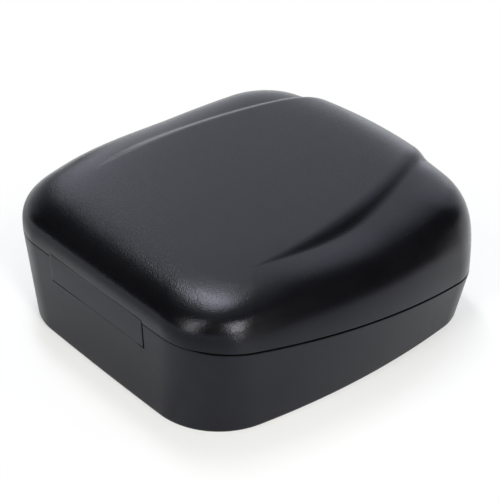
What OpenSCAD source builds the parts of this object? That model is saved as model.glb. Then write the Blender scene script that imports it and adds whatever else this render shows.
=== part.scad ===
// Hearing aid case: a hinged pocket box with a slanting parting line.
// Millimetres, +Z up. The rear (hinge) side faces +Y, the opening side faces -Y.
// The origin is under the middle of the case, on the surface that it rests on.

/* [Rim outline] */
// Depth of the case at the parting line, front to rear
rim_depth = 91; // [84:0.5:100]
// Width across the rear corners at the parting line
rim_rear_w = 80; // [76:0.5:90]
// Width across the front corners at the parting line
rim_front_w = 83.2; // [78:0.2:92]
// Radius of the rear corners at the parting line
rim_rear_r = 16.6; // [12:0.1:20]
// Radius of the front corners at the parting line
rim_front_r = 16.1; // [12:0.1:20]
// Radius of the bowed sides at the parting line
rim_side_bow = 152; // [110:1:400]
// Radius of the nearly flat rear at the parting line
rim_rear_bow = 2600; // [600:100:5000]
// Radius of the bowed front at the parting line
rim_front_bow = 134; // [100:1:400]

/* [Bottom outline] */
// How far the rear wall leans in, from the rim down to the bottom
draft_rear = 0.9; // [0:0.1:2]
// How far the front wall leans in, from the rim down to the bottom
draft_front = 3.4; // [0:0.1:5]
// How far the side walls lean in at the rear corners
draft_side_rear = 1.5; // [0:0.1:3]
// How far the side walls lean in at the front corners
draft_side_front = 2; // [0:0.1:4]
// Radius of the rear corners at the bottom
bottom_rear_r = 17.7; // [12:0.1:20]
// Radius of the front corners at the bottom
bottom_front_r = 14.3; // [10:0.1:20]
// Radius of the bowed sides at the bottom
bottom_side_bow = 192; // [130:1:400]
// Radius of the nearly flat rear at the bottom
bottom_rear_bow = 1200; // [600:100:5000]
// Radius of the bowed front at the bottom
bottom_front_bow = 167; // [100:1:400]
// Radius of the rounded edge under the base
bottom_edge_r = 0.6; // [0.4:0.1:1.6]

/* [Heights] */
// Height of the parting line at the rear face
rim_rear_z = 24.1; // [22:0.1:27]
// Height of the parting line at the front face
rim_front_z = 11; // [10:0.1:15]
// Height of the crown plane at the rear face
top_rear_z = 33.4; // [32:0.1:37]
// How much higher the crown plane is at the front face
top_rise = 5.3; // [3:0.1:6]
// Upright gap between the two rims
rim_gap = 0.45; // [0.4:0.01:0.8]

/* [Walls] */
// Wall of the base
base_wall = 2.2; // [1.8:0.1:2.6]
// Floor of the base
floor_t = 2.2; // [2:0.1:3]
// Wall of the lid at its rim
lid_wall = 2.2; // [1.8:0.1:2.6]
// Roof of the lid on the shoulders outside the flutes
shoulder_t = 1.1; // [0.9:0.1:1.6]

/* [Crown] */
// Power of the crown in plan, higher is squarer
crown_plan_power = 10.5; // [8:0.1:14]
// Power of the crown in height, higher is squarer
crown_rise_power = 2.2; // [1.9:0.1:3]
// How far the lid swells past its rim
lid_bulge = 0.95; // [0:0.05:1.5]
// Sweep of the crown over which the swell grows
bulge_sweep = 45; // [20:1:60]

/* [Flutes] */
// Half the plateau's width at the rear face
flute_rear_x = 26; // [22:0.1:30]
// Half the plateau's width at the middle
flute_mid_x = 28.4; // [24:0.1:31]
// Half the plateau's width at the front face
flute_front_x = 13.8; // [9:0.1:20]
// Step down from the plateau to the shoulders
flute_drop = 2.3; // [1:0.1:2.6]
// Slope of the step's flank
flute_slope = 1; // [0.6:0.05:1.4]
// Half the width over which the plateau's edge is rounded
flute_edge = 1.4; // [0.6:0.1:2]
// Where the flutes start, forward of the hinge
flute_start_y = 25; // [18:1:34]
// Where the flutes reach their full step
flute_full_y = -9; // [-30:1:10]
// Share of the step that is left at the front face
flute_front_share = 0.7; // [0.4:0.05:1]

/* [Hinge] */
// Width of the leaf on the rear face
leaf_w = 34.4; // [28:0.2:38]
// Radius of the leaf's knuckle
leaf_r = 2.46; // [2.2:0.02:2.8]
// Clearance between the leaf and its notch
leaf_clear = 0.25; // [0.2:0.01:0.35]
// Depth of the pin's axis behind the rear face
hinge_inset = 1.1; // [0.9:0.02:1.2]
// Depth of the pin's axis below the rear rim
hinge_drop = 4.4; // [4.2:0.1:5]
// Diameter of the pin
pin_d = 1.2; // [1:0.05:1.4]
// Length of the pin held in the base on each side of the leaf
pin_grip = 5; // [3:0.1:5.4]
// Radial running clearance of the leaf on the pin
pin_run = 0.05; // [0.02:0.01:0.08]
// Radial clearance of the pin in the base
pin_seat = 0.01; // [0.005:0.005:0.02]
// Gap at each end of the pin
pin_end = 0.1; // [0.05:0.05:0.3]
// Wall of the hinge housing inside the base
housing_wall = 1.6; // [1.2:0.1:2]
// Height of the leaf's flange inside the lid
flange_h = 2.4; // [1.6:0.1:2.8]
// Gap between that flange and the lid wall
flange_clear = 0.4; // [0.35:0.05:0.6]
// Gap between the leaf and the rim that it is bonded to
leaf_bond = 0.01; // [0:0.01:0.1]

/* [Tray] */
// Gap between the tray and the base wall
tray_clear = 0.25; // [0.15:0.05:0.4]
// Depth of the tray's deck below the rim
deck_drop = 1.5; // [1:0.1:2]
// Thickness of the tray under the wells
tray_floor = 1.5; // [1:0.1:2.5]
// Width of each aid's well
well_w = 30; // [24:0.5:31]
// Length of each aid's well, front to rear
well_l = 42; // [36:0.5:43]
// Corner radius of the wells
well_r = 11; // [6:0.5:13]
// Wall between the two wells
mid_wall = 7; // [5:0.5:9]
// Front end of the wells
well_front_y = -5; // [-7:0.5:-4]
// Width of the pocket for the battery caddy
pocket_w = 40; // [38:0.5:44]
// Length of that pocket, front to rear
pocket_l = 16; // [15:0.5:17]
// Corner radius of that pocket
pocket_r = 3; // [1:0.5:5]
// Rear end of that pocket
pocket_rear_y = -13; // [-14:0.5:-11]
// Gap between the caddy and its pocket
caddy_clear = 0.3; // [0.2:0.05:0.5]
// Height of the caddy
caddy_h = 6.4; // [5.8:0.1:7]
// Bore for one spare cell
cell_bore = 8.2; // [8:0.1:8.6]
// Depth of the cell bores
cell_depth = 4.9; // [3:0.1:5]
// Pitch of the cell bores
cell_pitch = 9.4; // [9:0.1:9.6]
// Number of cell bores
cell_count = 4; // [2:1:4]
// Diameter of the finger notch in front of the wells
finger_d = 20; // [14:1:24]
// Length of that notch, front to rear
finger_l = 7; // [5:0.5:10]

/* [Screws] */
// Shank diameter of the tray screws
screw_d = 1.8; // [1.6:0.1:2.2]
// Length of the shank
screw_l = 6; // [4:0.5:8]
// Diameter of the screw head
screw_head_d = 3.4; // [3:0.1:4]
// Height of the screw head
screw_head_h = 1; // [0.8:0.1:1.2]
// Width of the cross recess
screw_recess_w = 0.5; // [0.4:0.05:0.7]
// Clearance round the screws
screw_clear = 0.1; // [0.05:0.01:0.2]
// Distance of the middle screws from the ends of the wells
screw_end = 7; // [5:0.5:12]

/* [Feet] */
// Diameter of the feet
foot_d = 8; // [6:0.5:10]
// Depth of the recess that holds a foot
foot_recess = 0.6; // [0.4:0.1:1]
// How far a foot stands out below the base
foot_proud = 0.4; // [0.3:0.1:0.8]
// Gap round a foot in its recess
foot_clear = 0.1; // [0.05:0.05:0.2]
// Sideways place of the feet
foot_x = 25; // [20:0.5:28]
// Distance of the front feet from the front face
foot_front_in = 19.5; // [15.5:0.5:25]
// Distance of the rear feet from the rear face
foot_rear_in = 17.5; // [14.5:0.5:25]

/* [Closure] */
// Diameter of the magnets
magnet_d = 6; // [5:0.5:7]
// Thickness of the magnets
magnet_t = 2; // [1.5:0.1:2.5]
// Gap round a magnet in its pocket
magnet_clear = 0.08; // [0.05:0.01:0.15]
// Wall round a magnet's pocket
magnet_wall = 1.4; // [1:0.1:1.8]
// How far each magnet sits below its face
magnet_sunk = 0.1; // [0.05:0.05:0.3]
// Sideways place of the magnets
magnet_x = 24; // [18:0.5:25]
// Distance of the magnets from the front face
magnet_inset = 10; // [9:0.5:13]
// Depth of the magnet posts' faces below the rim
post_drop = 0.1; // [0:0.05:0.4]
// Radius of the thumb scoop in the front rim
scoop_r = 46; // [30:1:80]
// Depth of the thumb scoop at the rim
scoop_depth = 1.2; // [0.5:0.1:1.4]
// Height of the thumb scoop
scoop_h = 6; // [3:0.5:7]

/* [Lining] */
// Width of the frame inside the lid's rim
frame_w = 4; // [3:0.1:5]
// Height of that frame
frame_h = 3; // [2.6:0.1:3.2]
// Gap between the frame and the lid wall, above its lip
frame_clear = 0.6; // [0.5:0.05:0.8]
// Height of the lip that seats the frame in the lid
lip_h = 0.5; // [0.4:0.1:0.6]
// Gap between that lip and the lid wall
lip_clear = 0.05; // [0.04:0.01:0.1]
// Thickness of the foam under the roof
lid_pad_t = 3.5; // [2:0.5:5]
// Distance of that foam from the rim, in plan
lid_pad_inset = 15; // [14:0.5:18]
// Glue line between the foam and the roof
lid_pad_glue = 0.02; // [0.01:0.01:0.1]
// Thickness of the foam pads in the wells
well_pad_t = 2; // [1:0.5:4]
// Gap round the foam pads in the wells
well_pad_gap = 0.3; // [0.2:0.1:0.6]

/* [Hidden] */

$fn = 64;
big = 400;
proud = 1;

// Points along each stretch of half an outline
rear_n = 4;
corner_n = 8;
side_n = 12;
front_n = 10;

// Rings of the lid's crown
wall_rings = 10;
roof_rings = 12;
lining_rings = 6;
wall_sweep = 64;
roof_end = 0.16;
flank_out = 0.09;
flank_in = 0.035;
edge_rings = 4;

// Plastics, foam, rubber and metal
shell_black = [0.07, 0.07, 0.08];
satin_black = [0.1, 0.1, 0.11];
insert_grey = [0.2, 0.2, 0.22];
foam_grey = [0.16, 0.16, 0.17];
rubber_black = [0.05, 0.05, 0.05];
steel = [0.75, 0.75, 0.77];

half_depth = rim_depth / 2;
base_z = foot_proud;
floor_z = base_z + floor_t;
rim_slope = (rim_rear_z - rim_front_z) / rim_depth;
rim_angle = atan(rim_slope);
rim_mid_z = (rim_rear_z + rim_front_z) / 2;
top_slope = -top_rise / rim_depth;
top_mid_z = top_rear_z + top_rise / 2;
roof_t = shoulder_t + flute_drop;
foot_front_y = foot_front_in - half_depth;
foot_rear_y = half_depth - foot_rear_in;

rear_lean = atan(draft_rear / (rim_rear_z - base_z));
pin_z = rim_rear_z - hinge_drop;
pin_y = half_depth - draft_rear * hinge_drop / (rim_rear_z - base_z) - hinge_inset;
notch_r = leaf_r + leaf_clear;
notch_w = leaf_w + 2 * leaf_clear;
housing_w = notch_w + 2 * (pin_grip + housing_wall);
housing_y = pin_y - notch_r - housing_wall;
housing_z = pin_z - notch_r - housing_wall;

well_x = (mid_wall + well_w) / 2;
well_y = well_front_y + well_l / 2;
well_z = floor_z + tray_floor;
pocket_y = pocket_rear_y - pocket_l / 2;
magnet_y = magnet_inset - half_depth;
lug_r = magnet_d / 2 + magnet_wall;
frame_inset = lid_wall + frame_clear;
cross_y = (well_front_y + pocket_rear_y) / 2;
screw_x = well_x + finger_d / 2;
screw_spots = [[0, well_front_y + well_l - screw_end], [0, well_front_y + screw_end],
    [-screw_x, cross_y], [screw_x, cross_y]];

// An outline is corner radii and bows: [rear, front] corner centres, then the radii
function plan(rear_w, front_w, rear_y, front_y, rear_r, front_r, side_bow, rear_bow, front_bow) =
    let (xr = rear_w / 2 - rear_r, xf = front_w / 2 - front_r)
    let (yr = rear_y - rear_bow + sqrt(pow(rear_bow - rear_r, 2) - xr * xr))
    let (yf = front_y - front_bow + sqrt(pow(front_bow - front_r, 2) - xf * xf))
    [[-xr, yr], [-xf, -yf], rear_r, front_r, side_bow, rear_bow, front_bow];

rim_plan = plan(rim_rear_w, rim_front_w, half_depth, half_depth, rim_rear_r, rim_front_r,
    rim_side_bow, rim_rear_bow, rim_front_bow);
bottom_plan = plan(rim_rear_w - 2 * draft_side_rear, rim_front_w - 2 * draft_side_front,
    half_depth - draft_rear, half_depth - draft_front, bottom_rear_r, bottom_front_r,
    bottom_side_bow, bottom_rear_bow, bottom_front_bow);

function mix(a, b, t) = a + (b - a) * t;
function smooth(t) = let (s = max(0, min(1, t))) s * s * (3 - 2 * s);
function turn(v) = let (a = atan2(v[1], v[0])) a < 0 ? a + 360 : a;
function arc(c, r, a0, a1, n) =
    [for (i = [0 : n - 1]) let (a = mix(a0, a1, i / n)) c + r * [cos(a), sin(a)]];

// Left half of an outline, moved in by an offset, from the rear middle to the front middle
function half_outline(p, o) =
    let (c1 = p[0], c2 = p[1], d = norm(c2 - c1), e = (c2 - c1) / d)
    let (r1 = p[4] - p[2], r2 = p[4] - p[3], a = (r1 * r1 - r2 * r2 + d * d) / (2 * d))
    let (side = c1 + a * e + sqrt(r1 * r1 - a * a) * [-e[1], e[0]])
    let (rear = [0, c1[1] - sqrt(pow(p[5] - p[2], 2) - c1[0] * c1[0])])
    let (front = [0, c2[1] + sqrt(pow(p[6] - p[3], 2) - c2[0] * c2[0])])
    let (a1 = turn(c1 - rear), a2 = turn(c1 - side), a3 = turn(c2 - side), a4 = turn(c2 - front))
    concat(
        arc(rear, p[5] - o, 90, a1, rear_n),
        arc(c1, p[2] - o, a1, a2, corner_n),
        arc(side, p[4] - o, a2, a3, side_n),
        arc(c2, p[3] - o, a3, a4, corner_n),
        arc(front, p[6] - o, a4, 270, front_n),
        [front - [0, p[6] - o]]);
function outline(p, o) =
    let (h = half_outline(p, o))
    concat(h, [for (i = [len(h) - 2 : -1 : 1]) [-h[i][0], h[i][1]]]);

function rim_z(y) = rim_mid_z + rim_slope * y;
function top_z(y) = top_mid_z + top_slope * y;
function rear_y(z) = half_depth - draft_rear * (rim_rear_z - z) / (rim_rear_z - base_z);

// Where the step of the flutes lies, and how deep it is at a point of the crown
function flute_x(y) = let (t = y / half_depth)
    flute_mid_x + t * (flute_rear_x - flute_front_x) / 2
    + t * t * ((flute_rear_x + flute_front_x) / 2 - flute_mid_x);
function flank(u) =
    flute_slope * (pow(max(0, min(u, 2 * flute_edge)), 2) / 4 / flute_edge + max(0, u - 2 * flute_edge));
function soft_min(a, b, k) = let (t = max(0, min(1, 0.5 + 0.5 * (b - a) / k)))
    mix(b, a, t) - k * t * (1 - t);
function flute(x, y) =
    let (fade = mix(1, flute_front_share, smooth((flute_full_y - y) / (flute_full_y + half_depth))))
    let (step = flute_drop * smooth((flute_start_y - y) / (flute_start_y - flute_full_y)))
    let (drop = max(0.000001, step * fade))
    soft_min(flank(abs(x) - flute_x(y) + 0.8 * flute_edge), drop, drop / 2);
// How far out a ray from the middle to a point of the outline meets the plateau's edge
function flute_share(q) =
    let (t = q[1] / half_depth, a = t * t * ((flute_rear_x + flute_front_x) / 2 - flute_mid_x))
    let (b = abs(q[0]) - t * (flute_rear_x - flute_front_x) / 2)
    2 * flute_mid_x / (b + sqrt(max(0.01, b * b - 4 * a * flute_mid_x)));

// A ring of the base's wall at one level, and its rim
function wall_ring(o, z) =
    let (low = outline(bottom_plan, o), high = outline(rim_plan, o))
    [for (i = [0 : len(low) - 1])
        let (p = mix(low[i], high[i], (z - base_z) / (rim_z(high[i][1]) - base_z))) [p[0], p[1], z]];
function rim_ring(o, lift) = [for (p = outline(rim_plan, o)) [p[0], p[1], rim_z(p[1]) + lift]];

// A point of the lid's crown: share of the plan, share of the height, and the skin's depth
function crown_point(q, share, rise, skin, fluted) =
    let (p = q * share, low = rim_z(p[1]) + rim_gap)
    let (high = top_z(p[1]) - skin - (fluted ? flute(p[0], p[1]) : 0))
    [p[0], p[1], mix(low, high, rise)];
// Rings of the roof gather along the plateau's edge
function roof_share(q, t, first) =
    let (s = max(roof_end + 2 * flank_out, min(first - 1.5 * flank_out, flute_share(q))))
    lookup(t, [[0, first], [0.25, s + flank_out], [0.75, s - flank_in], [1, roof_end]]);
function crown_rings(o, skin, fluted, n_wall, n_roof) =
    let (first = pow(cos(wall_sweep), 2 / crown_plan_power))
    concat(
        [for (i = [0 : n_wall]) let (a = wall_sweep * i / n_wall)
            [for (q = outline(rim_plan, o - lid_bulge * smooth(a / bulge_sweep)))
                crown_point(q, pow(cos(a), 2 / crown_plan_power), pow(sin(a), 2 / crown_rise_power),
                    skin, fluted)]],
        [for (i = [1 : n_roof])
            [for (q = outline(rim_plan, o - lid_bulge)) let (share = roof_share(q, i / n_roof, first))
                crown_point(q, share, pow(1 - pow(share, crown_plan_power), 1 / crown_rise_power),
                    skin, fluted)]]);
function reversed(list) = [for (i = [len(list) - 1 : -1 : 0]) list[i]];

// A closed skin over rings of equal length, capped at both ends
module skin(rings) {
    n = len(rings[0]);
    points = [for (ring = rings) each ring];
    first = [for (i = [0 : n - 1]) i];
    last = [for (i = [n - 1 : -1 : 0]) (len(rings) - 1) * n + i];
    walls = [for (k = [0 : len(rings) - 2], i = [0 : n - 1])
        let (a = k * n + i, b = k * n + (i + 1) % n)
        each [[a, a + n, b + n], [a, b + n, b]]];
    polyhedron(points, concat([first], walls, [last]), convexity = 8);
}

// Space above a plane that runs with the parting line, or with the crown
module above_rim(lift) {
    translate([0, 0, rim_mid_z + lift])
        rotate([rim_angle, 0, 0])
        translate([-big / 2, -big / 2, 0])
        cube(big);
}
module above_top(lift) {
    translate([0, 0, top_mid_z + lift])
        rotate([atan(top_slope), 0, 0])
        translate([-big / 2, -big / 2, 0])
        cube(big);
}
// Space behind the leaning rear wall
module behind_rear() {
    translate([0, half_depth, rim_rear_z])
        rotate([-rear_lean, 0, 0])
        translate([-big / 2, 0, -big / 2])
        cube(big);
}
module across(r, w, y, z) {
    translate([-w / 2, y, z])
        rotate([0, 90, 0])
        cylinder(r = r, h = w);
}
module rounded(w, l, r) {
    square([w - 2 * r, l], center = true);
    square([w, l - 2 * r], center = true);
    for (x = [-1, 1], y = [-1, 1])
        translate([x * (w / 2 - r), y * (l / 2 - r)])
            circle(r);
}
module box(x0, x1, y0, y1, z0, z1) {
    translate([x0, y0, z0])
        cube([x1 - x0, y1 - y0, z1 - z0]);
}

// Lower tub with the hinge housing, the thumb scoop, foot recesses and screw holes
module base_tub() {
    edge = [for (i = [0 : edge_rings]) let (a = 90 * i / edge_rings)
        wall_ring(bottom_edge_r * (1 - sin(a)), base_z + bottom_edge_r * (1 - cos(a)))];
    skin(concat(edge, [rim_ring(0, 0), rim_ring(base_wall, 0), wall_ring(base_wall, floor_z)]));
}
module hinge_housing() {
    difference() {
        box(-housing_w / 2, housing_w / 2, housing_y, rear_y(housing_z) - base_wall / 2,
            housing_z, rim_rear_z + proud);
        above_rim(0);
    }
}
module hinge_notch() {
    across(notch_r, notch_w, pin_y, pin_z);
    box(-notch_w / 2, notch_w / 2, pin_y - notch_r, half_depth + proud, pin_z, rim_rear_z + proud);
}
module screw_holes() {
    for (p = screw_spots)
        translate([p[0], p[1], base_z]) {
            translate([0, 0, -proud])
                cylinder(d = screw_head_d + 2 * screw_clear, h = screw_head_h + proud);
            cylinder(d = screw_d + 2 * screw_clear, h = floor_t + proud);
        }
}
module foot_places() {
    for (x = [-1, 1], y = [foot_front_y, foot_rear_y])
        translate([x * foot_x, y, base_z])
            children();
}
module base_shell() {
    color(satin_black)
        difference() {
            union() {
                base_tub();
                hinge_housing();
            }
            hinge_notch();
            across(pin_d / 2 + pin_seat, notch_w + 2 * pin_grip, pin_y, pin_z);
            screw_holes();
            foot_places()
                translate([0, 0, -proud])
                cylinder(d = foot_d + 2 * foot_clear, h = foot_recess + proud);
            translate([0, -half_depth - scoop_r + scoop_depth, rim_front_z - scoop_h])
                cylinder(r = scoop_r, h = scoop_h + proud, $fn = 128);
        }
}

// Insert with the aids' wells, the caddy's pocket and the magnet posts
module tray_block() {
    inset = base_wall + tray_clear;
    difference() {
        skin([wall_ring(inset, floor_z), rim_ring(inset, 0)]);
        difference() {
            above_rim(-deck_drop);
            for (x = [-magnet_x, magnet_x])
                translate([x, magnet_y, 0])
                    cylinder(r = lug_r, h = rim_rear_z);
        }
        above_rim(-post_drop);
    }
}
module magnet_at(x, lift, depth) {
    translate([x, magnet_y, rim_z(magnet_y) + lift])
        rotate([rim_angle, 0, 0])
        translate([0, 0, depth])
        children();
}
module tray() {
    color(insert_grey)
        difference() {
            tray_block();
            for (x = [-well_x, well_x])
                translate([x, well_y, well_z])
                    linear_extrude(rim_rear_z)
                    rounded(well_w, well_l, well_r);
            translate([0, pocket_y, well_z])
                linear_extrude(rim_rear_z)
                rounded(pocket_w, pocket_l, pocket_r);
            for (x = [-well_x, well_x])
                translate([x, well_front_y, rim_z(well_front_y)])
                    rotate([0, 90, 90])
                    cylinder(d = finger_d, h = finger_l, center = true);
            box(-housing_w / 2 - tray_clear, housing_w / 2 + tray_clear, housing_y - tray_clear,
                half_depth, 0, rim_rear_z);
            for (p = screw_spots)
                translate([p[0], p[1], base_z])
                    cylinder(d = screw_d + screw_clear, h = screw_head_h + screw_l + screw_clear);
            for (x = [-magnet_x, magnet_x])
                magnet_at(x, -post_drop, -magnet_sunk - magnet_t)
                    cylinder(d = magnet_d + 2 * magnet_clear, h = magnet_t + proud);
        }
}
module tray_screws() {
    color(steel)
        for (p = screw_spots)
            translate([p[0], p[1], base_z])
                difference() {
                    union() {
                        cylinder(d = screw_head_d, h = screw_head_h);
                        cylinder(d = screw_d, h = screw_head_h + screw_l);
                    }
                    for (a = [0, 90])
                        rotate([0, 0, a])
                            cube([screw_head_d / 2, screw_recess_w, screw_head_h], center = true);
                }
}
module battery_caddy() {
    color(shell_black)
        translate([0, pocket_y, well_z])
        difference() {
            linear_extrude(caddy_h)
                rounded(pocket_w - 2 * caddy_clear, pocket_l - 2 * caddy_clear, pocket_r - caddy_clear);
            for (i = [0 : cell_count - 1])
                translate([(i - (cell_count - 1) / 2) * cell_pitch, 0, caddy_h - cell_depth])
                    cylinder(d = cell_bore, h = cell_depth + proud);
        }
}
module well_pad(side) {
    color(foam_grey)
        translate([side * well_x, well_y, well_z])
        linear_extrude(well_pad_t)
        rounded(well_w - 2 * well_pad_gap, well_l - 2 * well_pad_gap, well_r - well_pad_gap);
}
module hinge_pin() {
    color(steel)
        across(pin_d / 2, notch_w + 2 * (pin_grip - pin_end), pin_y, pin_z);
}
module base_magnet(side) {
    color(steel)
        magnet_at(side * magnet_x, -post_drop, -magnet_sunk - magnet_t)
        cylinder(d = magnet_d, h = magnet_t);
}
module foot(x, y) {
    color(rubber_black)
        translate([x, y, 0])
        cylinder(d = foot_d, h = foot_proud + foot_recess);
}

// Upper cover: lining, rim and fluted crown in one skin
module lid_shell() {
    color(shell_black)
        skin(concat(
            reversed(crown_rings(lid_wall, roof_t, false, lining_rings, 2)),
            crown_rings(0, 0, true, wall_rings, roof_rings)));
}
// Leaf on the rear face: knuckle, neck up to the lid's rim, and flange inside the lid's wall
module hinge_block() {
    neck_y = pin_y - leaf_r;
    flange_y = half_depth - lid_wall - flange_clear;
    color(shell_black)
        difference() {
            union() {
                across(leaf_r, leaf_w, pin_y, pin_z);
                difference() {
                    box(-leaf_w / 2, leaf_w / 2, neck_y, half_depth + proud, pin_z, rim_rear_z + proud);
                    above_rim(rim_gap - leaf_bond);
                }
                box(-leaf_w / 2, leaf_w / 2, neck_y, flange_y, pin_z, rim_rear_z + rim_gap + flange_h);
            }
            behind_rear();
            across(pin_d / 2 + pin_run, leaf_w + 2 * proud, pin_y, pin_z);
        }
}
// Frame inside the lid's rim, with a lug for each magnet
module lid_frame() {
    color(insert_grey)
        difference() {
            intersection() {
                linear_extrude(rim_rear_z + frame_h + proud) {
                    difference() {
                        polygon(outline(rim_plan, lid_wall + lip_clear));
                        polygon(outline(rim_plan, frame_inset + frame_w));
                    }
                    for (x = [-magnet_x, magnet_x])
                        translate([x, magnet_y])
                            circle(lug_r);
                }
                above_rim(rim_gap);
            }
            difference() {
                above_rim(rim_gap + lip_h);
                linear_extrude(big)
                    polygon(outline(rim_plan, frame_inset));
            }
            above_rim(rim_gap + frame_h);
            box(-leaf_w / 2 - frame_clear, leaf_w / 2 + frame_clear, pin_y - leaf_r - frame_clear,
                half_depth, 0, big);
            for (x = [-magnet_x, magnet_x])
                magnet_at(x, rim_gap, -proud)
                    cylinder(d = magnet_d + 2 * magnet_clear, h = proud + magnet_sunk + magnet_t);
        }
}
module lid_pad() {
    color(foam_grey)
        intersection() {
            skin(crown_rings(lid_wall, roof_t + lid_pad_glue, false, lining_rings, 2));
            linear_extrude(top_rear_z + top_rise)
                polygon(outline(rim_plan, lid_pad_inset));
            above_top(-roof_t - lid_pad_t);
        }
}
module lid_magnet(side) {
    color(steel)
        magnet_at(side * magnet_x, rim_gap, magnet_sunk)
        cylinder(d = magnet_d, h = magnet_t);
}

base_shell();
tray();
tray_screws();
battery_caddy();
well_pad(-1);  // well_pad_left
well_pad(1);  // well_pad_right
hinge_pin();
base_magnet(-1);  // base_magnet_left
base_magnet(1);  // base_magnet_right
foot(-foot_x, foot_front_y);  // foot_front_left
foot(foot_x, foot_front_y);  // foot_front_right
foot(-foot_x, foot_rear_y);  // foot_rear_left
foot(foot_x, foot_rear_y);  // foot_rear_right
lid_shell();
hinge_block();
lid_frame();
lid_pad();
lid_magnet(-1);  // lid_magnet_left
lid_magnet(1);  // lid_magnet_right
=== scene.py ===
import math

import bmesh
import bpy
import numpy as np
from mathutils import Matrix, Vector


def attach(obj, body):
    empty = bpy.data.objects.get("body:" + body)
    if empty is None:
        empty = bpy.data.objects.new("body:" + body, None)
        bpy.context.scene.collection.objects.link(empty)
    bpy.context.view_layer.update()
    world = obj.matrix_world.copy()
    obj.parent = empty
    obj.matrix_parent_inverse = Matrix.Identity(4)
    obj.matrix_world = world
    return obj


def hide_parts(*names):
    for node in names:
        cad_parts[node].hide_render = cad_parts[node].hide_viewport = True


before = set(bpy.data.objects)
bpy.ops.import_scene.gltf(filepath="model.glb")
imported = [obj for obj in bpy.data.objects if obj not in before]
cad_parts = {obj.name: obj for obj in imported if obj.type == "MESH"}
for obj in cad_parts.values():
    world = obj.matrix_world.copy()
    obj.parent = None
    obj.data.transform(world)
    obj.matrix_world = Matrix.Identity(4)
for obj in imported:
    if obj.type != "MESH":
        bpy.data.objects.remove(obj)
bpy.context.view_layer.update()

# Sizes in millimetres, as in the CAD source. Only the flutes' upper edge is rounder here.
MM = 0.001
RIM_GAP, BASE_WALL, LID_WALL, ROOF_T, PAD_T = 0.45, 2.2, 2.2, 3.4, 3.5
HALF_DEPTH, BASE_Z, FLOOR_Z, LOW_R = 45.5, 0.4, 2.6, 0.6
RIM_REAR_Z, RIM_FRONT_Z, TOP_REAR_Z, TOP_FRONT_Z = 24.1, 11.0, 33.4, 38.7
DRAFT_REAR = 0.9
PLAN_POWER, RISE_POWER, LID_BULGE, BULGE_SWEEP = 10.5, 2.2, 0.95, 45.0
FLUTE_REAR_X, FLUTE_MID_X, FLUTE_FRONT_X = 26.0, 28.4, 13.8
FLUTE_DROP, FLUTE_SLOPE, FLUTE_EDGE = 2.3, 1.0, 1.9
FLUTE_TURN, FLUTE_BACK = 2 * FLUTE_EDGE, 0.8 * FLUTE_EDGE
FLUTE_START_Y, FLUTE_FULL_Y, FLUTE_LEFT = 25.0, -9.0, 0.7
LEAF_W, LEAF_R, NOTCH_R, NOTCH_W = 34.4, 2.46, 2.71, 34.9
PIN_DOWN, PIN_IN = 4.4, 1.1
PIN_Z = RIM_REAR_Z - PIN_DOWN
PIN_Y = HALF_DEPTH - DRAFT_REAR * PIN_DOWN / (RIM_REAR_Z - BASE_Z) - PIN_IN
RIM_SLOPE = (RIM_REAR_Z - RIM_FRONT_Z) / (2 * HALF_DEPTH)
RIM_MID_Z = (RIM_REAR_Z + RIM_FRONT_Z) / 2
TOP_SLOPE = (TOP_REAR_Z - TOP_FRONT_Z) / (2 * HALF_DEPTH)
TOP_MID_Z = (TOP_REAR_Z + TOP_FRONT_Z) / 2
RIM_ANGLE = math.atan(RIM_SLOPE)
WELL_X, WELL_Y, WELL_Z, WELL_W, WELL_L, WELL_R = 18.5, 16.0, 4.1, 30.0, 42.0, 11.0
MAGNET_X, MAGNET_Y, MAGNET_T = 24.0, -35.5, 2.0
FOOT_X, FOOT_FRONT_Y, FOOT_REAR_Y = 25, -26, 28
RECESS_R, RECESS_Z = 4.1, 1.0
SCREWS = [(0, 30), (0, 2), (-28.5, -9), (28.5, -9)]
SCREW_HEAD_R, SCREW_HEAD_Z, SCREW_R = 1.8, 1.4, 1.0
SCOOP_R, SCOOP_DEPTH, SCOOP_UNDER, SCOOP_OVER = 46, 1.2, 6.0, 4.0
HOUSE_WALL, HOUSE_ENDS, HOUSE_UNDER = 1.6, 13.2, 0.05

# Finer than the CAD: the rounding of both rims, and a hair that keeps the skins inside its box
EDGE, HAIR = 0.12, 0.006


# Outlines: corner circles joined by bowed sides, as in the CAD source
def plan(rear_w, front_w, back_y, front_y, rear_r, front_r, side_bow, rear_bow, front_bow):
    xr, xf = rear_w / 2 - rear_r, front_w / 2 - front_r
    yr = back_y - rear_bow + math.sqrt((rear_bow - rear_r) ** 2 - xr * xr)
    yf = front_y - front_bow + math.sqrt((front_bow - front_r) ** 2 - xf * xf)
    corners = np.array([-xr, yr]), np.array([-xf, -yf])
    return *corners, rear_r, front_r, side_bow, rear_bow, front_bow


RIM = plan(rear_w=80, front_w=83.2, back_y=45.5, front_y=45.5, rear_r=16.6, front_r=16.1,
           side_bow=152, rear_bow=2600, front_bow=134)
BOTTOM = plan(rear_w=77, front_w=79.2, back_y=44.6, front_y=42.1, rear_r=17.7, front_r=14.3,
              side_bow=192, rear_bow=1200, front_bow=167)
# Points on half an outline: rear, rear corner, side, front corner and front
REAR_N, REAR_CORNER_N, SIDE_N, FRONT_CORNER_N, FRONT_N = 16, 36, 60, 36, 36


def arc(c, r, a0, a1, n):
    a = a0 + (a1 - a0) * np.arange(n) / n
    return np.stack([c[0] + r * np.cos(a), c[1] + r * np.sin(a)], 1)


def turn(v):
    return math.atan2(v[1], v[0]) % (2 * math.pi)


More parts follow.
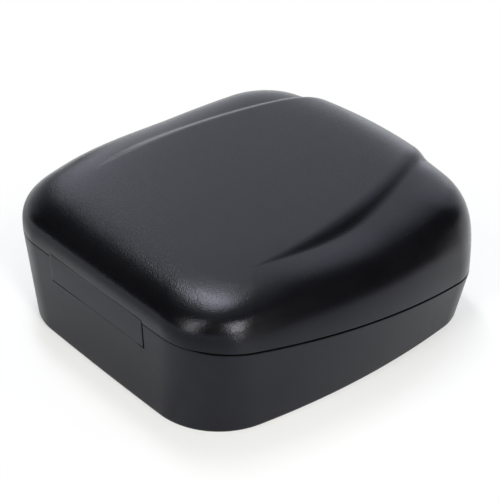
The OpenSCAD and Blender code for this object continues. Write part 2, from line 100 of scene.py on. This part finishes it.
def outline(p, o):
    """The closed outline of plan p, moved in by o, from the middle of the rear by -X."""
    c1, c2, r1, r2, side_bow, rear_bow, front_bow = p
    d = np.linalg.norm(c2 - c1)
    e = (c2 - c1) / d
    s1, s2 = side_bow - r1, side_bow - r2
    a = (s1 * s1 - s2 * s2 + d * d) / (2 * d)
    side = c1 + a * e + math.sqrt(s1 * s1 - a * a) * np.array([-e[1], e[0]])
    rear = np.array([0.0, c1[1] - math.sqrt((rear_bow - r1) ** 2 - c1[0] ** 2)])
    front = np.array([0.0, c2[1] + math.sqrt((front_bow - r2) ** 2 - c2[0] ** 2)])
    a1, a2, a3, a4 = turn(c1 - rear), turn(c1 - side), turn(c2 - side), turn(c2 - front)
    half = np.concatenate([
        arc(rear, rear_bow - o, math.pi / 2, a1, REAR_N),
        arc(c1, r1 - o, a1, a2, REAR_CORNER_N),
        arc(side, side_bow - o, a2, a3, SIDE_N),
        arc(c2, r2 - o, a3, a4, FRONT_CORNER_N),
        arc(front, front_bow - o, a4, 3 * math.pi / 2, FRONT_N),
        [front - [0, front_bow - o]]])
    return np.concatenate([half, half[-2:0:-1] * [-1, 1]])


def soft(t):
    s = np.clip(t, 0, 1)
    return s * s * (3 - 2 * s)


def rim_z(y):
    return RIM_MID_Z + RIM_SLOPE * y


def top_z(y):
    return TOP_MID_Z + TOP_SLOPE * y


def rear_y(z):
    return HALF_DEPTH - DRAFT_REAR * (RIM_REAR_Z - z) / (RIM_REAR_Z - BASE_Z)


def flute(x, y):
    """How far the crown drops at a point: a sloping flank that turns softly into a level."""
    t = y / HALF_DEPTH
    edge = (FLUTE_MID_X + t * (FLUTE_REAR_X - FLUTE_FRONT_X) / 2
            + t * t * ((FLUTE_REAR_X + FLUTE_FRONT_X) / 2 - FLUTE_MID_X))
    grown = soft((FLUTE_START_Y - y) / (FLUTE_START_Y - FLUTE_FULL_Y))
    ending = soft((FLUTE_FULL_Y - y) / (HALF_DEPTH + FLUTE_FULL_Y))
    drop = np.maximum(1e-6, FLUTE_DROP * grown * (1 + (FLUTE_LEFT - 1) * ending))
    u = np.abs(x) - edge + FLUTE_BACK
    flank = FLUTE_SLOPE * (np.clip(u, 0, FLUTE_TURN) ** 2 / (2 * FLUTE_TURN)
                           + np.maximum(0, u - FLUTE_TURN))
    mix = np.clip(0.5 + (drop - flank) / drop, 0, 1)
    return drop + (flank - drop) * mix - 0.5 * drop * mix * (1 - mix)


# The rim gap closes up along the hinge side, and further round its +X corner
RIM_LINE = outline(RIM, 0)
FURTHER = RIM_LINE[:, 0] > 0
CLOSE_FROM, CLOSE_OVER = np.where(FURTHER, 26.0, 41.0), np.where(FURTHER, 8.0, 4.3)
GAP_CLOSED = 0.41
CLOSING = GAP_CLOSED * soft((RIM_LINE[:, 1] - CLOSE_FROM) / CLOSE_OVER)


def foot_z(y):
    return rim_z(y) + RIM_GAP - CLOSING


# Rings: outlines at a height
def with_z(p, z):
    return np.column_stack([p, np.broadcast_to(z, len(p))])


def rim_ring(o, lift):
    p = outline(RIM, o)
    return with_z(p, rim_z(p[:, 1]) + lift)


def foot_ring(o, lift):
    p = outline(RIM, o)
    return with_z(p, foot_z(p[:, 1]) + lift)


def wall_ring(o, z):
    low, high = outline(BOTTOM, o), outline(RIM, o)
    t = (z - BASE_Z) / (rim_z(high[:, 1]) - BASE_Z)
    return with_z(low + (high - low) * t[:, None], z)


def crown_ring(o, share, rise, swell, skin, fluted):
    p = outline(RIM, o - LID_BULGE * swell) * share
    low = foot_z(p[:, 1])
    high = top_z(p[:, 1]) - skin - (flute(p[:, 0], p[:, 1]) if fluted else 0)
    return with_z(p, low + (high - low) * rise)


def crown_rings(o, skin, fluted, sweeps, roof_n):
    """Rings up a superelliptic crown at the given sweeps in degrees, then over its roof."""
    rings = []
    for a in np.radians(sweeps):
        share, rise = math.cos(a) ** (2 / PLAN_POWER), math.sin(a) ** (2 / RISE_POWER)
        swell = float(soft(math.degrees(a) / BULGE_SWEEP))
        rings.append(crown_ring(o, share, rise, swell, skin, fluted))
    last = math.cos(math.radians(sweeps[-1])) ** (2 / PLAN_POWER)
    for i in range(1, roof_n):
        share = last * (1 - i / roof_n)
        rise = (1 - share ** PLAN_POWER) ** (1 / RISE_POWER)
        rings.append(crown_ring(o, share, rise, 1, skin, fluted))
    return rings


def quarter(radius, n):
    """The steps in and up along a quarter round, from its foot to its side."""
    return [(radius * (1 - math.sin(t)), radius * (1 - math.cos(t)))
            for t in np.radians(np.linspace(0, 90, n))]


# Mesh helpers
def add_object(name, data):
    obj = bpy.data.objects.new(name, data)
    bpy.context.collection.objects.link(obj)
    return obj


def solid(name, verts, faces):
    mesh = bpy.data.meshes.new(name)
    verts = (np.asarray(verts, dtype=float) * MM).tolist()
    mesh.from_pydata(verts, [], [list(f) for f in faces])
    bm = bmesh.new()
    bm.from_mesh(mesh)
    bmesh.ops.remove_doubles(bm, verts=bm.verts, dist=1e-7)
    bmesh.ops.recalc_face_normals(bm, faces=bm.faces)
    bm.to_mesh(mesh)
    bm.free()
    return add_object(name, mesh)


def loft(name, rings, first="cap", last="cap"):
    """A closed skin through rings of equal length; each end is a cap or runs to a point."""
    n, k = len(rings[0]), len(rings)
    verts = [p for ring in rings for p in ring]
    faces = []
    for j in range(k - 1):
        a, b = j * n, (j + 1) * n
        faces += [(a + i, a + (i + 1) % n, b + (i + 1) % n, b + i) for i in range(n)]
    for end, start in ((first, 0), (last, (k - 1) * n)):
        if end == "cap":
            faces.append([start + i for i in range(n)])
        else:
            verts.append(end)
            tip = len(verts) - 1
            faces += [(start + i, start + (i + 1) % n, tip) for i in range(n)]
    return solid(name, verts, faces)


def shrink(profile, d):
    """Moves a closed profile in by d along its corner normals."""
    if not d:
        return profile
    ahead = np.roll(profile, -1, 0) - profile
    ahead /= np.linalg.norm(ahead, axis=1)[:, None]
    behind = np.roll(ahead, 1, 0)
    area = 0.5 * np.sum(profile[:, 0] * np.roll(profile[:, 1], -1)
                        - profile[:, 1] * np.roll(profile[:, 0], -1))
    side = 1.0 if area > 0 else -1.0
    n1 = np.column_stack([-ahead[:, 1], ahead[:, 0]]) * side
    n0 = np.column_stack([-behind[:, 1], behind[:, 0]]) * side
    m = n0 + n1
    m /= np.maximum(1e-9, np.sum(m * n1, 1))[:, None]
    return profile + m * d


def prism(name, profile, x0, x1, edge=0.0):
    """A profile in Y and Z, drawn along X, with its end edges rounded by a small inset.

    The last step is a support ring, which keeps the rounding's shading off the long faces."""
    profile = np.asarray(profile, dtype=float)
    steps = [(0.0, 0.0)]
    if edge:
        middle = 0.29 * edge
        steps = [(edge, 0.0), (middle, middle), (0.0, edge), (0.0, 4 * edge)]
    ends = [(inset, x0 + depth) for inset, depth in steps]
    ends += [(inset, x1 - depth) for inset, depth in reversed(steps)]
    rings = []
    for inset, x in ends:
        p = shrink(profile, inset)
        rings.append(np.column_stack([np.full(len(p), x), p]))
    return loft(name, rings)


def lathe(name, profile, at, tilt=0.0, n=64):
    """Radius and height pairs turned about Z, then tilted about X and moved."""
    a = 2 * math.pi * np.arange(n) / n
    spin = Matrix.Rotation(tilt, 3, "X")
    rings = []
    for r, h in profile:
        ring = [spin @ Vector((r * math.cos(t), r * math.sin(t), h)) for t in a]
        rings.append(np.array([[v.x, v.y, v.z] for v in ring]) + np.asarray(at))
    return loft(name, rings)


def carve(obj, tools, operation="DIFFERENCE"):
    """Cuts the tools from an object, or joins them to it, and deletes them."""
    for tool in tools:
        mod = obj.modifiers.new("carve", "BOOLEAN")
        mod.operation, mod.object, mod.solver = operation, tool, "EXACT"
    graph = bpy.context.evaluated_depsgraph_get()
    done = bpy.data.meshes.new_from_object(obj.evaluated_get(graph))
    obj.modifiers.clear()
    old, obj.data = obj.data, done
    bpy.data.meshes.remove(old)
    for tool in tools:
        data = tool.data
        bpy.data.objects.remove(tool)
        bpy.data.meshes.remove(data)


def finish_piece(obj, body, material, node, sharp):
    """Gives a piece its finish, its body and the CAD node it stands for; sharp is in degrees."""
    obj.data.shade_smooth()
    obj.data.set_sharp_from_angle(angle=math.radians(sharp))
    obj.data.materials.clear()
    obj.data.materials.append(material)
    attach(obj, body)
    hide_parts(node)


# Materials
def new_material(name):
    mat = bpy.data.materials.new(name)
    mat.use_nodes = True
    tree = mat.node_tree
    tree.nodes.clear()
    out = tree.nodes.new("ShaderNodeOutputMaterial")
    bsdf = tree.nodes.new("ShaderNodeBsdfPrincipled")
    tree.links.new(bsdf.outputs["BSDF"], out.inputs["Surface"])
    return mat, tree, bsdf


def preset(node, **values):
    """Sets a node's sockets by name, with _ for the spaces."""
    for name, value in values.items():
        node.inputs[name.replace("_", " ")].default_value = value


def noise(tree, size_mm, detail, rough=0.5):
    coord = tree.nodes.new("ShaderNodeTexCoord")
    tex = tree.nodes.new("ShaderNodeTexNoise")
    preset(tex, Scale=1.0 / (size_mm * MM), Detail=detail, Roughness=rough)
    tree.links.new(coord.outputs["Object"], tex.inputs["Vector"])
    return tex


def tint(tree, bsdf, source, low, high, start=0.35, end=0.65):
    ramp = tree.nodes.new("ShaderNodeValToRGB")
    for stop, position, colour in zip(ramp.color_ramp.elements, (start, end), (low, high)):
        stop.position = position
        stop.color = (*colour, 1)
    tree.links.new(source.outputs["Fac"], ramp.inputs["Fac"])
    tree.links.new(ramp.outputs["Color"], bsdf.inputs["Base Color"])


def roughen(tree, bsdf, source, low, high):
    mapped = tree.nodes.new("ShaderNodeMapRange")
    preset(mapped, From_Min=0.3, From_Max=0.7, To_Min=low, To_Max=high)
    tree.links.new(source.outputs["Fac"], mapped.inputs["Value"])
    tree.links.new(mapped.outputs["Result"], bsdf.inputs["Roughness"])


def bump(tree, bsdf, source, depth_mm, strength, under=None):
    node = tree.nodes.new("ShaderNodeBump")
    preset(node, Strength=strength, Distance=depth_mm * MM)
    tree.links.new(source.outputs["Fac"], node.inputs["Height"])
    if under is not None:
        tree.links.new(under.outputs["Normal"], node.inputs["Normal"])
    tree.links.new(node.outputs["Normal"], bsdf.inputs["Normal"])
    return node


def plastic(name, low, high, rough, grain_mm, grain_depth, grain_strength, specular,
            grain_detail=2.0, reflection_light_tint=(0.75, 0.79, 1.0), coat=None):
    """Moulded plastic: faint flow marks under a fine grain. The coat is weight, roughness, IOR.
    The cast is painted light: a blue specular tint that stands in for the light's colour in the
    reflections.
    """
    mat, tree, bsdf = new_material(name)
    preset(bsdf, Specular_IOR_Level=specular, Specular_Tint=(*reflection_light_tint, 1))
    tint(tree, bsdf, noise(tree, 9.0, 3.0), low, high)
    roughen(tree, bsdf, noise(tree, 2.6, 3.0), rough - 0.02, rough + 0.02)
    flow = bump(tree, bsdf, noise(tree, 14.0, 1.0), 0.02, 0.25)
    pits = noise(tree, grain_mm, grain_detail, 0.6)
    grain = bump(tree, bsdf, pits, grain_depth, grain_strength, flow)
    if coat:
        preset(bsdf, Coat_Weight=coat[0], Coat_Roughness=coat[1], Coat_IOR=coat[2])
        tree.links.new(grain.outputs["Normal"], bsdf.inputs["Coat Normal"])
    return mat


def metal(name, low, high, rough, line_mm):
    mat, tree, bsdf = new_material(name)
    preset(bsdf, Metallic=1.0)
    tint(tree, bsdf, noise(tree, 1.2, 3.0), low, high)
    roughen(tree, bsdf, noise(tree, 0.6, 2.0), rough - 0.06, rough + 0.08)
    bump(tree, bsdf, noise(tree, line_mm, 2.0), 0.004, 0.3)
    return mat


def foam(name, low, high):
    mat, tree, bsdf = new_material(name)
    preset(bsdf, Specular_IOR_Level=0.2, Sheen_Weight=0.25, Sheen_Roughness=0.6)
    pores = noise(tree, 0.45, 3.0, 0.65)
    tint(tree, bsdf, pores, low, high, 0.3, 0.7)
    roughen(tree, bsdf, noise(tree, 1.5, 2.0), 0.82, 0.95)
    swell = bump(tree, bsdf, noise(tree, 5.0, 2.0), 0.12, 0.5)
    bump(tree, bsdf, pores, 0.12, 0.9, swell)
    return mat


# The blue specular casts below paint the light's colour into the plastics' reflections
LID_BLACK = plastic("lid_black", (0.0021, 0.0023, 0.0034), (0.0030, 0.0032, 0.0046), rough=0.21,
                    grain_mm=0.28, grain_depth=0.034, grain_strength=1.0, specular=0.20,
                    grain_detail=0.0, reflection_light_tint=(0.64, 0.71, 1.0), coat=(0.33, 0.30, 1.35))
BASE_BLACK = plastic("base_black", (0.0040, 0.0042, 0.0051), (0.0053, 0.0055, 0.0067), rough=0.32,
                     grain_mm=0.22, grain_depth=0.006, grain_strength=0.35, specular=0.235,
                     reflection_light_tint=(0.67, 0.72, 1.0))
INSERT_GREY = plastic("insert_grey", (0.020, 0.020, 0.022), (0.026, 0.026, 0.029), rough=0.42,
                      grain_mm=0.25, grain_depth=0.012, grain_strength=0.45, specular=0.42)
CADDY_BLACK = plastic("caddy_black", (0.010, 0.010, 0.011), (0.014, 0.014, 0.015), rough=0.36,
                      grain_mm=0.25, grain_depth=0.008, grain_strength=0.4, specular=0.42)
RUBBER = plastic("foot_rubber", (0.012, 0.012, 0.012), (0.018, 0.018, 0.018), rough=0.72,
                 grain_mm=0.35, grain_depth=0.02, grain_strength=0.5, specular=0.3)
FOAM = foam("foam_grey", (0.016, 0.016, 0.018), (0.034, 0.034, 0.037))
STEEL = metal("pin_steel", (0.50, 0.50, 0.51), (0.62, 0.62, 0.63), rough=0.28, line_mm=0.2)
NICKEL = metal("magnet_nickel", (0.58, 0.56, 0.53), (0.70, 0.68, 0.65), rough=0.2, line_mm=0.4)

# Lid: fluted crown, rounded rim and plain lining in one closed skin
SWEEPS = np.concatenate([[0.6, 1.1, 1.8, 2.7, 3.9, 5.4, 7.2, 9.4, 12.0],
                         np.arange(15.0, 60.0, 3.0), np.arange(60.0, 80.1, 1.25)])
LINING_SWEEPS = np.concatenate([[1.0, 2.5, 5.0], np.arange(9.0, 80.1, 5.0)])
ROOF_N, LINING_ROOF_N = 110, 10
outer = [foot_ring(inward + HAIR, up) for inward, up in quarter(EDGE, 4)]
outer += crown_rings(HAIR, HAIR, True, SWEEPS, ROOF_N)
lining = crown_rings(LID_WALL, ROOF_T, False, LINING_SWEEPS, LINING_ROOF_N)[::-1]
lining += [foot_ring(LID_WALL - up, inward) for inward, up in quarter(EDGE, 3)]
lid = loft("lid_skin", lining + outer,
           first=(0, 0, top_z(0) - ROOF_T), last=(0, 0, top_z(0) - HAIR))
finish_piece(lid, "lid", LID_BLACK, "lid_shell", sharp=40)

# Base: leaning tub with rounded edges. The first and last share of the wall are support rings.
WALL_SHARES = (0.02, 0.25, 0.5, 0.75, 0.985)
FILLET, FILLET_MID = 0.8, 0.25
rings = [wall_ring(inward, BASE_Z + up) for inward, up in quarter(LOW_R, 9)]
wall_low, wall_high = rings[-1], rim_ring(HAIR, -EDGE)
rings += [wall_low + (wall_high - wall_low) * share for share in WALL_SHARES]
rings += [rim_ring(up + HAIR, -inward) for inward, up in quarter(EDGE, 4)]
rings += [rim_ring(BASE_WALL - inward, -up) for inward, up in quarter(EDGE, 3)]
rings += [wall_ring(BASE_WALL, FLOOR_Z + FILLET),
          wall_ring(BASE_WALL + FILLET_MID, FLOOR_Z + FILLET_MID),
          wall_ring(BASE_WALL + FILLET, FLOOR_Z)]
base = loft("base_tub", rings)

# The hinge's housing, then the notch for the leaf: snug in the middle, eased towards the ends
HOUSE_Y, HOUSE_Z = PIN_Y - NOTCH_R - HOUSE_WALL, PIN_Z - NOTCH_R - HOUSE_WALL
HOUSE_W = NOTCH_W + HOUSE_ENDS
HOUSE_BACK = rear_y(HOUSE_Z) - BASE_WALL / 2
housing = prism("housing", [(HOUSE_Y, HOUSE_Z), (HOUSE_BACK, HOUSE_Z),
                            (HOUSE_BACK, rim_z(HOUSE_BACK) - HOUSE_UNDER),
                            (HOUSE_Y, rim_z(HOUSE_Y) - HOUSE_UNDER)], -HOUSE_W / 2, HOUSE_W / 2)
carve(base, [housing], "UNION")
UNDER = np.radians(np.linspace(180, 360, 49))
SNUG, SNUG_X0, SNUG_X1, EASE_X0, EASE_X1 = 0.05, -14.0, 3.0, 2.5, 11.0
OUT_Y, OUT_Z = HALF_DEPTH + 2, RIM_REAR_Z + 3
rings = []
for x in np.concatenate([np.linspace(-NOTCH_W / 2, SNUG_X0, 5),
                         np.linspace(SNUG_X1, NOTCH_W / 2, 9)]):
    opening = float(max(soft((x - SNUG_X1) / EASE_X1), soft((SNUG_X0 - x) / EASE_X0)))
    r = LEAF_R + SNUG + (NOTCH_R - LEAF_R - SNUG) * opening
    ring = [(x, PIN_Y + r * math.cos(t), PIN_Z + r * math.sin(t)) for t in UNDER]
    ring += [(x, OUT_Y, PIN_Z), (x, OUT_Y, OUT_Z), (x, PIN_Y - r, OUT_Z)]
    rings.append(np.array(ring))
tools = [loft("notch", rings)]

# The thumb scoop, the recesses of the feet and the holes of the screws
tools.append(lathe("scoop", [(SCOOP_R, RIM_FRONT_Z - SCOOP_UNDER),
                             (SCOOP_R, RIM_FRONT_Z + SCOOP_OVER)],
                   (0, -HALF_DEPTH - SCOOP_R + SCOOP_DEPTH, 0), n=512))
for x in (-FOOT_X, FOOT_X):
    for y in (FOOT_FRONT_Y, FOOT_REAR_Y):
        tools.append(lathe("recess", [(RECESS_R, -1), (RECESS_R, RECESS_Z)], (x, y, 0)))
for x, y in SCREWS:
    tools.append(lathe("screw_hole", [(SCREW_HEAD_R, -1), (SCREW_HEAD_R, SCREW_HEAD_Z),
                                      (SCREW_R, SCREW_HEAD_Z), (SCREW_R, 4)], (x, y, 0), n=32))
carve(base, tools)
finish_piece(base, "base", BASE_BLACK, "base_shell", sharp=30)

# Leaf: knuckle, flush face and flange, with a skirt that carries the lid's rim over the joint
FACE_TOP_Z, SKIRT_Z, FLANGE_Z = RIM_REAR_Z + 0.44, RIM_REAR_Z + 0.74, RIM_REAR_Z + 2.85
FLANGE_Y, SKIRT_Y = HALF_DEPTH - LID_WALL - 0.4, HALF_DEPTH + 0.012
FACE_LOW_Z = PIN_Z - math.sqrt(LEAF_R ** 2 - PIN_IN ** 2)
FACE_CLEAR, LEAF_EDGE = 0.02, 0.08
LEAF_X0, LEAF_X1 = -LEAF_W / 2 + 0.1, NOTCH_W / 2 - 0.05
knuckle = [(PIN_Y + LEAF_R * math.cos(t), PIN_Z + LEAF_R * math.sin(t)) for t in UNDER]
knuckle = [(y, z) for y, z in knuckle if y < rear_y(z) - FACE_CLEAR]
face = [(rear_y(z), z) for z in (FACE_LOW_Z, FACE_TOP_Z)]
flange = [(SKIRT_Y, SKIRT_Z), (FLANGE_Y, SKIRT_Z), (FLANGE_Y, FLANGE_Z),
          (PIN_Y - LEAF_R, FLANGE_Z)]
leaf = prism("hinge_leaf", knuckle + face + flange, LEAF_X0, LEAF_X1, LEAF_EDGE)
finish_piece(leaf, "lid", BASE_BLACK, "hinge_block", sharp=30)

# Feet and magnets, as radius and height pairs
FOOT_PROFILE = [(3.5, 0.0), (3.78, 0.06), (3.94, 0.2), (4.0, 0.42), (4.0, 1.0)]
MAGNET_ROUND = [(2.8, 0.0), (2.94, 0.05), (3.0, 0.18)]
MAGNET_PROFILE = MAGNET_ROUND + [(r, MAGNET_T - h) for r, h in reversed(MAGNET_ROUND)]
# Each body's magnets: their height over the rim, then the way along their tilted axis
MAGNET_PLACES = (("base", -0.1, -2.1), ("lid", RIM_GAP, 0.1))
for fore, y in (("front", FOOT_FRONT_Y), ("rear", FOOT_REAR_Y)):
    for hand, x in (("left", -FOOT_X), ("right", FOOT_X)):
        foot = lathe(f"rubber_foot_{fore}_{hand}", FOOT_PROFILE, (x, y, 0))
        finish_piece(foot, "base", RUBBER, f"foot_{fore}_{hand}", sharp=50)
for hand, x in (("left", -MAGNET_X), ("right", MAGNET_X)):
    for body, lift, along in MAGNET_PLACES:
        at = Vector((x, MAGNET_Y, rim_z(MAGNET_Y) + lift))
        at += Matrix.Rotation(RIM_ANGLE, 3, "X") @ Vector((0, 0, along))
        magnet = lathe(f"{body}_disc_{hand}", MAGNET_PROFILE, at, RIM_ANGLE)
        finish_piece(magnet, body, NICKEL, f"{body}_magnet_{hand}", sharp=50)


# Foam pads: soft edges, sides drawn in and a low crown
def rounded(w, l, r, inset, n=14):
    """A rectangle with round corners of n points each, moved in by inset."""
    pts = []
    for cx, cy, a0 in ((1, 1, 0), (-1, 1, 90), (-1, -1, 180), (1, -1, 270)):
        for a in np.radians(a0 + 90 * np.arange(n) / (n - 1)):
            pts.append((cx * (w / 2 - r) + (r - inset) * math.cos(a),
                        cy * (l / 2 - r) + (r - inset) * math.sin(a)))
    return np.array(pts)


FOAM_GAP = 0.3
# Inset and height of the well pads' rings; share, inset and height of the lid pad's rings
WELL_FOAM = ((1.0, 0.0), (0.25, 0.12), (0.05, 0.45), (0.16, 0.9), (0.08, 1.25), (0.3, 1.52),
             (0.8, 1.7), (1.7, 1.8), (3.5, 1.87), (6.0, 1.93), (8.5, 1.97), (10.2, 1.99))
LID_FOAM = ((0.93, 15.9, 0.0), (0.97, 15.8, 0.08), (1, 15.4, 0.45), (1, 15.05, 1.1),
            (1, 15.3, 2.0), (1, 15.05, 2.9), (1, 15.4, 3.15), (0.95, 15.9, 3.35))
LID_FOAM_FACE = (0.9, 0.75, 0.55, 0.35, 0.15)
for hand, side in (("left", -1), ("right", 1)):
    rings = []
    for inset, h in WELL_FOAM:
        p = rounded(WELL_W - 2 * FOAM_GAP, WELL_L - 2 * FOAM_GAP, WELL_R - FOAM_GAP, inset)
        rings.append(with_z(p + [side * WELL_X, WELL_Y], WELL_Z + h))
    pad = loft(f"well_foam_{hand}", rings)
    finish_piece(pad, "base", FOAM, f"well_pad_{hand}", sharp=60)
rings = []
for share, inset, h in reversed(LID_FOAM):
    p = outline(RIM, inset) * share
    rings.append(with_z(p, top_z(p[:, 1]) - ROOF_T - PAD_T + h))
face_edge = rings[-1]
for share in LID_FOAM_FACE:
    p = face_edge[:, :2] * share
    rings.append(with_z(p, top_z(p[:, 1]) - ROOF_T - PAD_T))
pad = loft("lid_foam", rings)
finish_piece(pad, "lid", FOAM, "lid_pad", sharp=60)

# CAD nodes that stay, with better materials
for node, material in (("tray", INSERT_GREY), ("lid_frame", INSERT_GREY),
                       ("battery_caddy", CADDY_BLACK), ("tray_screws", STEEL),
                       ("hinge_pin", STEEL)):
    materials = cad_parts[node].data.materials
    if len(materials) == 0:
        materials.append(material)
    for i in range(len(materials)):
        materials[i] = material


# Floor: white to the rays that see it, with more of its own lit colour close to the case
def math_node(tree, operation, first, second, clamp=False):
    node = tree.nodes.new("ShaderNodeMath")
    node.operation, node.use_clamp = operation, clamp
    tree.links.new(first, node.inputs[0])
    tree.links.new(second, node.inputs[1])
    return node.outputs[0]


def white_floor(name):
    mat, tree, bsdf = new_material(name)
    preset(bsdf, Specular_IOR_Level=0.1, Roughness=0.9)
    tint(tree, bsdf, noise(tree, 60.0, 2.0), (0.80, 0.86, 0.94), (0.82, 0.88, 0.96))
    path = tree.nodes.new("ShaderNodeLightPath").outputs
    seen = math_node(tree, "ADD", path["Is Camera Ray"], path["Is Glossy Ray"])
    seen = math_node(tree, "ADD", seen, path["Is Transmission Ray"])
    place = tree.nodes.new("ShaderNodeNewGeometry")
    reach = tree.nodes.new("ShaderNodeVectorMath")
    reach.operation = "LENGTH"
    tree.links.new(place.outputs["Position"], reach.inputs[0])
    fade = tree.nodes.new("ShaderNodeMapRange")
    fade.interpolation_type = "SMOOTHSTEP"
    preset(fade, From_Min=0.05, From_Max=0.09, To_Min=0.5, To_Max=1.0)
    tree.links.new(reach.outputs["Value"], fade.inputs["Value"])
    share = math_node(tree, "MULTIPLY", seen, fade.outputs["Result"], clamp=True)
    white = tree.nodes.new("ShaderNodeEmission")
    preset(white, Color=(1, 1, 1, 1), Strength=1.0)
    blend = tree.nodes.new("ShaderNodeMixShader")
    tree.links.new(share, blend.inputs["Fac"])
    tree.links.new(bsdf.outputs["BSDF"], blend.inputs[1])
    tree.links.new(white.outputs["Emission"], blend.inputs[2])
    tree.links.new(blend.outputs["Shader"], tree.nodes["Material Output"].inputs["Surface"])
    return mat


FLOOR_R, FLOOR_HOLE_R, FLOOR_TOP, FLOOR_UNDER = 3000, 0.001, -0.02, -1.0
floor = lathe("floor", [(FLOOR_HOLE_R, FLOOR_UNDER), (FLOOR_R, FLOOR_UNDER),
                        (FLOOR_R, FLOOR_TOP), (FLOOR_HOLE_R, FLOOR_TOP)], (0, 0, 0), n=96)
floor.data.materials.append(white_floor("floor_white"))


# Light
def direction(az, el):
    a, e = math.radians(az), math.radians(el)
    return Vector((math.sin(a) * math.cos(e), -math.cos(a) * math.cos(e), math.sin(e)))


def area_lamp(name, az, el, dist, width, height, radiance, colour):
    data = bpy.data.lights.new(name, "AREA")
    data.shape, data.size, data.size_y = "RECTANGLE", width, height
    data.energy = radiance * math.pi * width * height
    data.color = colour
    obj = add_object(name, data)
    back = direction(az, el)
    obj.location = back * dist
    obj.rotation_euler = back.to_track_quat("Z", "Y").to_euler()
    obj.visible_camera = False


COOL, PALE = (0.90, 0.925, 1.0), (0.95, 0.97, 1.0)
CREAM, WARM = (1.0, 0.97, 0.91), (1.0, 0.92, 0.78)
# Name, azimuth and elevation in degrees, distance, width and height in metres, radiance, colour
LAMPS = (
    ("backdrop", 29, 26, 1.2, 1.75, 1.4, 0.97, COOL),
    ("low_strip", 38, 14, 1.15, 1.00, 0.46, 0.97, COOL),
    ("right_soft", 18, 42, 1.15, 0.60, 0.60, 0.51, COOL),
    ("left_low", 88, 4, 1.15, 0.90, 0.40, 0.87, COOL),
    ("left_mid", 86, 20, 1.15, 0.80, 0.30, 0.46, COOL),
    ("side_strip", 67, 26, 1.15, 0.26, 0.36, 1.55, COOL),
    ("mid_soft", 60, 45, 1.15, 0.70, 0.34, 0.15, COOL),
    ("arc_lamp", 71, 70.5, 0.8, 0.12, 0.40, 18.0, CREAM),
    ("top_soft", 60, 88, 1.0, 0.90, 0.90, 0.45, PALE),
    ("front_left", 190, 30, 0.8, 0.17, 0.80, 8.3, WARM),
    ("front_right", 253, 26, 0.8, 0.16, 0.60, 19.5, WARM),
    ("kicker", 250.5, 6.6, 0.121, 0.026, 0.028, 12.5, WARM),
)
for lamp in LAMPS:
    area_lamp(*lamp)


# Dark sheets round the case, which only mirror-like rays can see: painted shade in the case's
# reflections, which lights or shades nothing else
def around(offset, keep):
    """Picks points of the rim's outline, moved out by offset, from the front middle by +X."""
    ring = outline(RIM, -offset)
    ring = np.roll(ring, len(ring) // 2, 0)
    return ring[keep(ring[:, 0], ring[:, 1])]


def sheet(name, lower, upper, alpha):
    """A thin sheet between two lines of points, with alpha as its share of dark: painted shade
    that only mirror-like rays see.
    """
    n = len(lower)
    obj = solid(name, [*lower, *upper], [(i, i + 1, n + i + 1, n + i) for i in range(n - 1)])
    mat, _, bsdf = new_material(f"{name}_grey")
    preset(bsdf, Base_Color=(0.01, 0.01, 0.01, 1), Specular_IOR_Level=0.0, Alpha=alpha)
    obj.data.materials.append(mat)
    obj.visible_camera = obj.visible_diffuse = obj.visible_shadow = False


# Each sheet paints shade into what the case mirrors on its side; none of them blocks light or
# casts a shadow
reflection_shade_flag = around(50, lambda x, y: (x < -70) & (y < 45))
reflection_shade_veil = around(20, lambda x, y: (x > -58) & (y > 25))
reflection_shade_card = around(11, lambda x, y: (x > -30) & (y > 25))
reflection_shade_screen = around(60, lambda x, y: (x > 55) & (y < 20))
side_reflection_shade = around(12, lambda x, y: (x < -30) & (y > -56) & (y < 30))
side_z = rim_z(side_reflection_shade[:, 1])
sheet("reflection_shade_flag", with_z(reflection_shade_flag, 0.0), with_z(reflection_shade_flag, 40.0), alpha=1.0)
sheet("reflection_shade_veil", with_z(reflection_shade_veil, 8.0), with_z(reflection_shade_veil, 24.0), alpha=0.36)
sheet("reflection_shade_card", with_z(reflection_shade_card * 0.8, 0.2), with_z(reflection_shade_card, 0.2), alpha=0.2)
sheet("reflection_shade_screen", with_z(reflection_shade_screen, 38.0), with_z(reflection_shade_screen, 66.0), alpha=0.32)
sheet("side_reflection_shade", with_z(side_reflection_shade, side_z - 9.0), with_z(side_reflection_shade, side_z - 1.0), alpha=0.2)
sheet("floor_reflection_shade", [(62, 2, 0.3), (62, 44, 0.3)], [(95, 2, 0.3), (95, 44, 0.3)], alpha=0.3)

world = bpy.data.worlds.new("room")
world.use_nodes = True
preset(world.node_tree.nodes["Background"], Color=(0.96, 0.98, 1.0, 1), Strength=0.02)
bpy.context.scene.world = world

# Camera, fitted to the photograph's outline: angles in degrees, lengths in millimetres
AZ, EL, DIST, TARGET = 229.31, 33.5, 385.8, Vector((-1.39, 1.0, 16.0))
FOCAL_PX, IMAGE_PX, SENSOR = 1609.24, 500.0, 36.0
camera = add_object("camera", bpy.data.cameras.new("camera"))
back = direction(AZ, EL)
right = Vector((math.cos(math.radians(AZ)), math.sin(math.radians(AZ)), 0))
up = back.cross(right)
turned = Matrix((right, up, back)).transposed().to_4x4()
turned.translation = (TARGET + back * DIST) * MM
camera.matrix_world = turned
camera.data.sensor_width = SENSOR
camera.data.lens = SENSOR * FOCAL_PX / IMAGE_PX
camera.data.clip_start = 0.01
bpy.context.scene.camera = camera
bpy.context.scene.view_settings.view_transform = "Standard"
